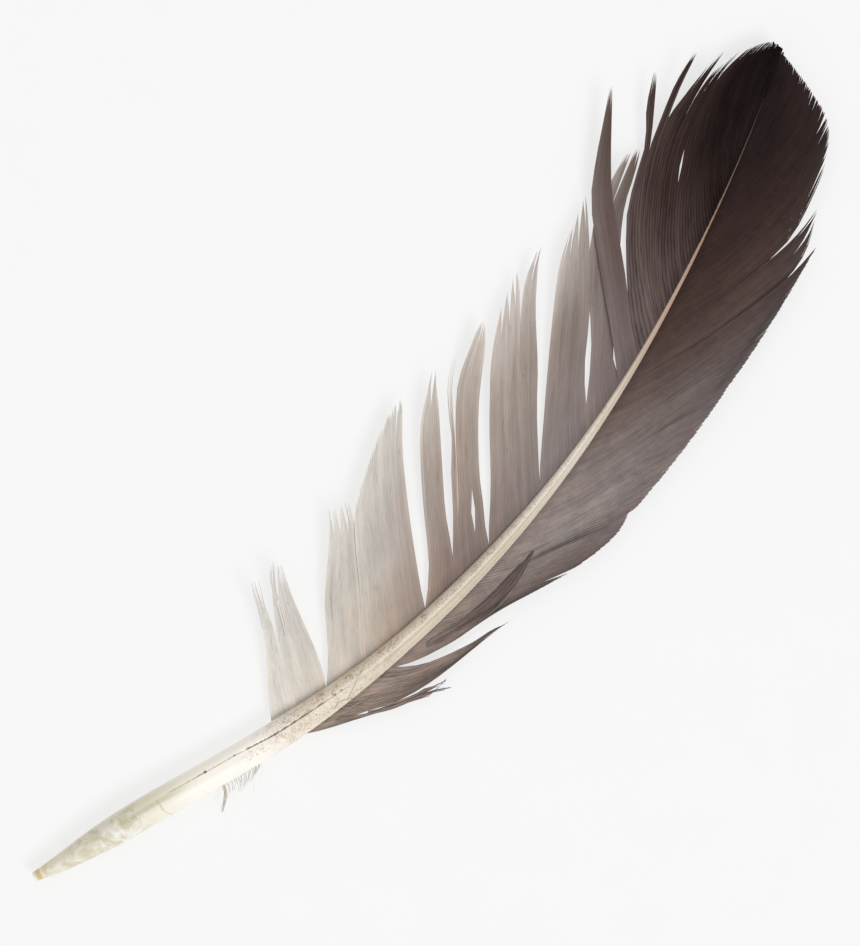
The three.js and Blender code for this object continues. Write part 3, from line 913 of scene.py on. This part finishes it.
def horn_material():
    """Horn: clear and olive at the barrel, white where pith backs it, then tan, with specks and a slit."""
    nodes = Material("quill_horn")
    remap = nodes.remap
    along, across, slit = (nodes.attribute(name) for name in ("along", "across", "slit"))
    spot = nodes.spot()
    length = along / (LENGTH / MM)

    # The barrel is brighter below its slit and greyer above it, partly painted light on the lower side, which
    # faces the window lamp, and painted shade on the upper side; the shaft has pale and beige bands, and its
    # pale band along the lower edge is a painted highlight.
    lower, upper, pale = (nodes.ramp(length, stops) for stops in (HORN_LOWER, HORN_UPPER, HORN_PALE))
    colour = nodes.mix(remap(across, -0.15, 0.35), lower, upper)
    banded = remap(along, 66, 84)
    colour = nodes.mix(banded * remap(abs(across + 0.03), 0.05, 0.22, 0.7, 0.0), colour, pale)
    # A pale band along the lower edge of the shaft, on the side towards the window lamp: painted highlight.
    colour = nodes.mix(banded * remap(across, -0.97, -0.72, 1.0, 0.0), colour, pale)

    # Brown specks: granular above the slit, and mottles below it where the vanes begin.
    clouds = nodes.noise(spot, 420.0, 3.0, 0.6) - 0.5
    grain = nodes.noise(spot, 2600.0, 3.0, 0.65) + clouds * 0.5
    above = (remap(across, 0.02, 0.25) * remap(across, 0.8, 0.99, 1.0, 0.35)
             * remap(along, 56, 72) * remap(along, 110, 230, 1.0, 0.3))
    below = (nodes.math("MAXIMUM", remap(across, -0.6, -0.35), remap(along, 61, 68))
             * remap(across, 0.05, 0.2, 1.0, 0.0) * remap(along, 54, 60) * remap(along, 78, 120, 1.0, 0.35))
    specks = remap(grain, 0.50, 0.63) * nodes.math("MAXIMUM", above, below * 0.7)
    colour = nodes.mix(specks * 0.75, colour, (190, 164, 138), "MULTIPLY")

    # The slit: a faint crease, then a dark olive line, with brown spots where it is torn.
    beside = abs(slit)
    swell = nodes.noise(nodes.vector(along * 0.8), 1.0, 2.0, 0.6)
    line = remap(beside - remap(swell, 0.35, 0.7, 0.04, 0.26), 0.0, 0.12, 1.0, 0.0)
    crease = remap(along, 37, 39) * remap(along, 57, 59, 0.35, 0.0)
    tear = remap(along, 58.2, 59.4) * remap(along, 75, 79, 0.85, 0.0)
    colour = nodes.mix(line * (crease + tear), colour, (128, 112, 84))
    for middle, long, wide, strength in SLIT_SPOTS:
        far = ((along - middle) / long) ** 2.0 + (beside / wide) ** 2.0
        colour = nodes.mix(remap(far, 0.3, 1.2, strength, 0.0), colour, (122, 88, 48))

    # An olive band above the slit, where the clear stretch runs out.
    band = remap(abs(slit - 0.9), 0.2, 1.0, 0.6, 0.0) * remap(along, 22, 29) * remap(along, 36, 47, 1.0, 0.0)
    colour = nodes.mix(band, colour, (206, 200, 166))

    # Curled white flecks in the clear stretch, the rings of the mouth, and the edges of the last caps.
    curls = nodes.noise(spot, 260.0, 3.0, 0.5, 1.6)
    curl = (remap(curls, 0.53, 0.62) * remap(along, 4, 14, 0.3, 1.0) * remap(along, 27, 33, 1.0, 0.0)
            * remap(across, -0.1, 0.6, 1.0, 0.1))
    colour = nodes.mix(curl, colour, (255, 255, 250))
    shadow = remap(curls, 0.38, 0.52, 1.0, 0.0) * remap(along, 27, 33, 0.8, 0.0)
    colour = nodes.mix(shadow, colour, (232, 228, 210), "MULTIPLY")
    for middle, half, tint, strength in RINGS:
        ring = remap(abs(along - middle), half * 0.5, half, strength, 0.0)
        colour = nodes.mix(ring, colour, tint)
    bowed = along - across ** 2.0 * 1.6 + clouds * 2.0
    for middle, strength in CAP_EDGES:
        edge = remap(abs(bowed - middle), 0.04, 0.32, strength, 0.0) * remap(across, 0.2, 0.45, 1.0, 0.1)
        colour = nodes.mix(edge, colour, (196, 178, 148))

    clear = nodes.attribute("inside") * remap(along, 26, 46, 0.4, 0.0)
    nodes.set(Base_Color=colour, Alpha=remap(along, 26, 46, 0.72, 1.0) - clear,
              Roughness=remap(along, 30, 75, 0.3, 0.46) + specks * 0.2, Specular_IOR_Level=0.4)
    fibres = nodes.noise(nodes.vector(along * 0.25, slit * 3.0), 1.0, 3.0, 0.6)
    nodes.bump(fibres * 0.5 - specks * 0.4, 0.5, 0.12 * MM)
    return nodes.made


def membrane_material():
    """Dry membrane: cream and wrinkled."""
    nodes = Material("membrane")
    wrinkles = nodes.noise(nodes.spot(), 1400.0, 4.0, 0.7)
    tint = nodes.mix(nodes.remap(wrinkles, 0.35, 0.65), (226, 216, 186), (255, 253, 246))
    nodes.set(Base_Color=tint, Roughness=0.5)
    nodes.bump(wrinkles, 0.7, 0.2 * MM)
    return nodes.made


def pith_material():
    """Pith: white foam with small cells."""
    nodes = Material("pith")
    cells = nodes.add("TexVoronoi", Vector=nodes.spot(), Scale=1800.0).outputs["Distance"]
    tint = nodes.mix(nodes.remap(cells, 0.1, 0.6), (236, 232, 222), (252, 250, 246))
    nodes.set(Base_Color=tint, Roughness=0.9)
    nodes.bump(cells, 0.6, 0.15 * MM)
    return nodes.made


def hair_material():
    """Light brown hair that darkens towards its tips."""
    nodes = Material("light_hair")
    share = nodes.attribute("reach") * 0.7 + nodes.noise(nodes.spot(), 700.0) * 0.4
    nodes.set(Base_Color=nodes.mix(share, (214, 198, 178), (178, 156, 140)), Roughness=0.6)
    return nodes.made


barb_streaks()

# Colours by place along the shaft, 0 at the cut end and 1 at the tip.
# Where the wide vane's roots are darker than its middles, that is partly painted shade beside the shaft.
WIDE_ROOTS = {
    0.24: (222, 217, 209), 0.33: (201, 191, 178), 0.38: (176, 158, 144), 0.44: (140, 122, 114),
    0.5: (136, 121, 116), 0.58: (137, 126, 123), 0.64: (130, 118, 116), 0.69: (116, 103, 101),
    0.76: (86, 72, 70), 0.85: (41, 30, 29), 1.0: (24, 17, 17),
}
WIDE_MIDDLES = {
    0.24: (222, 217, 209), 0.33: (198, 191, 181), 0.38: (187, 179, 172), 0.45: (163, 147, 137),
    0.52: (166, 154, 145), 0.59: (140, 127, 120), 0.66: (137, 125, 122), 0.7: (100, 85, 82),
    0.76: (57, 43, 40), 0.84: (33, 23, 22), 1.0: (20, 14, 14),
}
WIDE_TIPS = {
    0.24: (208, 206, 203), 0.33: (214, 208, 199), 0.4: (204, 198, 189), 0.46: (196, 187, 178),
    0.54: (198, 190, 183), 0.6: (182, 174, 167), 0.665: (106, 92, 86), 0.7: (92, 76, 70), 0.76: (50, 38, 36),
    0.84: (29, 20, 20), 1.0: (18, 12, 12),
}
NARROW_ROOTS = {
    0.26: (152, 138, 128), 0.35: (146, 130, 121), 0.42: (144, 129, 121), 0.5: (150, 137, 132),
    0.58: (138, 126, 121), 0.66: (104, 88, 82), 0.72: (76, 59, 54), 0.8: (60, 44, 41), 0.88: (42, 31, 30),
    1.0: (26, 19, 19),
}
NARROW_MIDDLES = {
    0.26: (122, 108, 101), 0.35: (140, 125, 118), 0.42: (138, 124, 118), 0.5: (152, 143, 140),
    0.58: (130, 119, 115), 0.66: (96, 81, 77), 0.72: (76, 60, 56), 0.8: (56, 42, 40), 0.88: (40, 29, 29),
    1.0: (27, 20, 20),
}
NARROW_TIPS = {
    0.26: (118, 106, 102), 0.35: (98, 86, 84), 0.42: (112, 100, 98), 0.5: (132, 121, 120),
    0.58: (114, 104, 102), 0.66: (90, 78, 76), 0.72: (68, 56, 54), 0.8: (50, 39, 38), 0.88: (48, 36, 35),
    1.0: (30, 23, 24),
}
# The horn's colours above and below its slit. On the barrel the lower side's lighter colours are partly
# painted light, from the side towards the window lamp, and the upper side's greyer ones partly painted shade.
HORN_UPPER = {
    0.0: (238, 229, 204), 0.04: (234, 227, 208), 0.09: (236, 230, 212), 0.12: (244, 238, 214),
    0.16: (250, 244, 230), 0.22: (255, 249, 240), 0.27: (226, 214, 197), 0.36: (214, 200, 180),
    0.5: (206, 196, 180), 0.6: (224, 216, 204), 0.66: (214, 202, 186), 0.73: (190, 166, 148),
    0.81: (176, 144, 120), 0.88: (118, 90, 74), 0.93: (62, 46, 41), 1.0: (22, 16, 15),
}
HORN_LOWER = {
    0.0: (240, 231, 206), 0.04: (240, 234, 218), 0.09: (243, 238, 224), 0.12: (250, 245, 228),
    0.14: (246, 241, 230), 0.22: (244, 239, 230), 0.27: (226, 215, 198), 0.36: (212, 200, 180),
    0.5: (202, 189, 166), 0.6: (216, 205, 188), 0.66: (204, 188, 170), 0.73: (182, 158, 140),
    0.81: (166, 135, 113), 0.88: (112, 84, 70), 0.93: (60, 44, 40), 1.0: (22, 16, 15),
}
HORN_PALE = {
    0.25: (250, 244, 232), 0.36: (232, 224, 210), 0.6: (232, 224, 212), 0.7: (214, 200, 184),
    0.8: (186, 158, 136), 0.88: (128, 100, 84), 0.95: (50, 38, 35), 1.0: (22, 16, 15),
}
# Rings of the barrel's mouth: middle and half width in mm from the cut, colour and strength.
RINGS = [
    (0.25, 0.5, (246, 238, 214), 0.8), (1.25, 0.8, (214, 190, 136), 0.85), (2.2, 0.35, (250, 244, 222), 0.6),
]
# Brown spots on the slit: middle and half length in mm from the cut, half width in mm, and strength.
SLIT_SPOTS = [(46.2, 1.3, 0.18, 0.5), (47.8, 0.5, 0.4, 0.95), (55.7, 0.5, 0.32, 0.5), (66.4, 0.4, 0.4, 0.5),
              (79.6, 1.3, 0.36, 0.6), (83.8, 0.4, 0.34, 0.7), (85.7, 0.4, 0.34, 0.7)]
# Edges of the last pulp caps, seen through the horn: mm from the cut, and strength.
CAP_EDGES = [(34.6, 0.5), (44.6, 0.15)]

WIDE_COLOURS = (WIDE_ROOTS, WIDE_MIDDLES, WIDE_TIPS)
NARROW_COLOURS = (NARROW_ROOTS, NARROW_MIDDLES, NARROW_TIPS)
wide_barbs = barb_material("wide_vane_barbs", WIDE_COLOURS, 0.42, 0.06, 0.09, 0.22, 0.08)
dark_barbs = barb_material("dark_vane_barbs", WIDE_COLOURS, 1.15, 0.5, 0.2, 0.35, 0.08)
narrow_barbs = barb_material("narrow_vane_barbs", NARROW_COLOURS, 0.6, 0.34, 0.6, 0.35, 0.0)
lock_barbs = barb_material("lower_lock_barbs", NARROW_COLOURS, 1.2, 0.25, 0.3, 0.5, 0.04)
horn = horn_material()
membrane = membrane_material()
light_hair = hair_material()

# ---- The vanes -----------------------------------------------
WIDE_COMBS = {
    1: Comb(zipped=0.86, fray=0.14, sway=0.3, spacing=0.6),
    2: Comb(zipped=0.85, fray=0.05, sway=0.2, splits=[(0.28, 0.62, 2.4), (0.62, 0.5, 0.6)], spacing=0.6),
    3: Comb(zipped=0.9, fray=0.05, sway=0.3, clumps=(0, 0.2, 0.45, 0.75, 1), depth=0.03, longer=0.02,
            seams=(0.18, 0.5), shades=[(0.15, 0.45, 0.3, 9, 0.25)]),
    4: Comb(zipped=0.96, fray=0.012, lean=0.8, clumps=(0.78, 0.89, 1), depth=0.02, longer=0.01),
    5: Comb(zipped=0.94, clumps=(0, 0.5, 1), depth=0.04),
    6: Comb(zipped=0.7, fray=0.02, spacing=0.6),
    7: Comb(zipped=0.95, fray=0.015, holes=[(0.6, 0.11, 0.29, 1.2)]),
    8: Comb(zipped=0.94, clumps=(0, 0.3, 0.6, 0.85, 1), depth=0.03,
            shades=[(0.4, 0.45, 0.5, 9, 0.12), (0.75, 0.4, 0.6, 9, 0.15)]),
    9: Comb(zipped=0.94, clumps=(0, 0.5, 1), depth=0.02),
    10: Comb(zipped=0.94, clumps=(0, 0.15, 0.4, 0.7, 1), depth=0.03, longer=0.01, seams=(0.18, 0.45),
             holes=[(1.03, 0.12, 0.46, 1.0)],
             shades=[(0.3, 0.55, 0.5, 9, 0.2), (0.62, 0.5, 0.4, 10, 0.22), (0.85, 0.6, 0.4, 8, -0.15)]),
    11: Comb(zipped=0.95, fray=0.015, splits=[(0.5, 0.74, 1.6)], seams=(0.45, 0.5),
             holes=[(-0.03, 0.12, 0.5, 1.0)],
             shades=[(0.2, 0.5, 0.35, 8, 0.25), (0.55, 0.5, 0.4, 9, 0.18)]),
    12: Comb(zipped=0.97, fray=0.015, shades=[(0.0, 0.4, 0.5, 12, 0.25), (0.35, 0.45, 0.12, 14, 0.25)]),
    13: Comb(zipped=0.96, fray=0.015, spacing=1.1, seams=(0.18, 0.4)),
    14: Comb(zipped=0.96, fray=0.015, spacing=0.9, seams=(0.3, 0.4)),
    15: Comb(zipped=0.95, clumps=(0, 0.4, 0.75, 1), depth=0.04, seams=(0.3, 0.4)),
    16: Comb(zipped=0.96, fray=0.01, clumps=(0.5, 1), seams=(0.3, 0.5), longer=0.01,
             holes=[(-0.08, 0.72, 0.94, 0.8), (0.8, 0.42, 0.55, 0.75)]),
    17: Comb(zipped=0.98, lean=1.2, fray=0.008, spacing=0.8, seams=(0.5, 0.9)),
}
SMOOTH_EDGE = dict(zipped=0.99, fray=0.006, lean=1.2, spacing=0.6, longer=0.015)
NARROW_COMBS = {
    1: Comb(zipped=0.8, fray=0.06, sway=0.4, spacing=0.6),
    2: Comb(zipped=0.88, fray=0.04, sway=0.3, clumps=(0, 0.3, 0.6, 1), spacing=0.75,
            shades=[(0.35, 0.55, 0.7, 9, 0.3)]),
    3: Comb(zipped=0.985, fray=0.008, lean=1.0, spacing=0.6, longer=0.01),
    # Tufts 4 to 6 carry dark lines along the partings between them and a dark patch where tuft 6's edge curls
    # under: painted shade.
    4: Comb(**SMOOTH_EDGE,
            shades=[(1.0, 0.55, 0.55, 12, 0.6), (0.6, 1.0, 3, 1.6, 0.25), (0.95, 1.0, 3, 3, -0.15)]),
    5: Comb(**SMOOTH_EDGE,
            shades=[(0.0, 0.5, 0.35, 14, 0.55), (0.13, 0.25, 0.3, 3.5, 0.5), (1.0, 0.75, 0.3, 9, 0.3)]),
    6: Comb(**SMOOTH_EDGE, seams=(0.18, 0.4),
            shades=[(0.35, 0.94, 6, 2.4, 0.3), (0.0, 0.75, 0.3, 10, 0.3)]),
    7: Comb(zipped=0.97, fray=0.015, clumps=(0, 0.5, 1), depth=0.03, spacing=0.75, seams=(0.3, 0.4)),
    8: Comb(zipped=0.97, fray=0.012, lean=1.5, clumps=(0, 0.15, 0.3), spacing=0.75, seams=(0.3, 0.4)),
    9: Comb(zipped=0.98, fray=0.012, lean=1.0, spacing=0.6, seams=(0.3, 0.9)),
}
LOCK_TUFTS = 2  # the narrow vane's tufts up to here are a loose lock
DARK_FROM = 13  # the wide vane's tufts from here on show the line of every barb

SLOTS = {entry["node"]: entry["material_slot"] for entry in frame["record"]["subparts"]}
heights = Heights()
barb_pattern = model_barb()
for vane, side, combs in (("wide", 1, WIDE_COMBS), ("narrow", -1, NARROW_COMBS)):
    for number, comb in combs.items():
        node = f"{vane}_vane_tuft_{number:02d}"
        grid = tuft_grid(node, side)
        heights.add(grid)
        tuft = comb_tuft(grid, comb, number * side)
        if side > 0:
            material = dark_barbs if number >= DARK_FROM else wide_barbs
        else:
            material = narrow_barbs if number > LOCK_TUFTS else lock_barbs
        finish(tuft, f"{vane}_vane_barbs_{number:02d}", SLOTS[node], material, node)

# ---- Barrel, shaft and what they hold ------------------------
finish(model_barrel(), "barrel_horn", "barrel_horn", horn, "barrel")
finish(model_shaft(), "shaft_horn", "shaft_horn", horn, "shaft")
cap_pattern = model_pulp_cap()
for number in range(1, PULP_CAPS + 1):
    cap = copy_of(cap_pattern)
    place_pulp_cap(cap, f"pulp_cap_{number}", number)
    finish(cap, f"pulp_membrane_{number}", "membrane", membrane, f"pulp_cap_{number}")
bpy.data.objects.remove(cap_pattern)
pith = frame["nodes"]["shaft_pith"]
pith.data.materials.clear()
pith.data.materials.append(pith_material())

# ---- Loose barbs, hairs and down -----------------------------
finish(make_loose_barbs(), "loose_pale_barbs", "pale_barbs", wide_barbs)
finish(make_brown_wisps(), "loose_brown_barbs", "grey_barbs", lock_barbs)
finish(make_root_hairs(), "root_hairs", "grey_barbs", light_hair)
finish(make_folded_wedge(), "folded_lock", "grey_barbs", lock_barbs)
finish(make_tip_barbs(), "tip_barbs", "dark_barbs", dark_barbs)
finish(make_down_strand(), "down_strand", "down", wide_barbs, "down_tuft_1")
finish(make_down_fan(), "down_fan", "down", wide_barbs, "down_tuft_2")
bpy.data.objects.remove(barb_pattern)


# ---- Desk, light and camera ----------------------------------
def lay_desk():
    desk = primitive(bpy.ops.mesh.primitive_plane_add, size=DESK_SIZE)
    desk.name = "desk"
    nodes = Material("pale_desk")
    grain = nodes.noise(nodes.spot(), 60.0, 3.0)
    nodes.set(Base_Color=nodes.mix(grain, (135, 135, 135), (138, 138, 138)), Roughness=0.9,
              Emission_Color=(255, 255, 255), Emission_Strength=DESK_GLOW, Specular_IOR_Level=0.0)
    desk.data.materials.append(nodes.made)


def light_studio():
    world = bpy.data.worlds.new("studio")
    bpy.context.scene.world = world
    world.use_nodes = True
    world.node_tree.nodes["Background"].inputs["Color"].default_value = (1, 1, 1, 1)
    world.node_tree.nodes["Background"].inputs["Strength"].default_value = AMBIENT
    for name, place, size, power in LIGHTS:
        light = bpy.data.lights.new(name, "AREA")
        light.size = size
        light.energy = power
        lamp = bpy.data.objects.new(name, light)
        lamp.location = place
        lamp.rotation_euler = (-Vector(place)).to_track_quat("-Z", "Y").to_euler()
        bpy.context.scene.collection.objects.link(lamp)


def place_camera():
    lens = bpy.data.cameras.new("camera")
    lens.lens = LENS
    lens.sensor_width = SENSOR
    camera = bpy.data.objects.new("camera", lens)
    camera.location = VIEW_CENTRE + Vector((0, 0, VIEW_HEIGHT * LENS / SENSOR))
    camera.rotation_euler = (0, 0, VIEW_TURN)
    bpy.context.scene.collection.objects.link(camera)
    bpy.context.scene.camera = camera


bpy.context.scene.view_settings.view_transform = "Standard"
lay_desk()
light_studio()
place_camera()
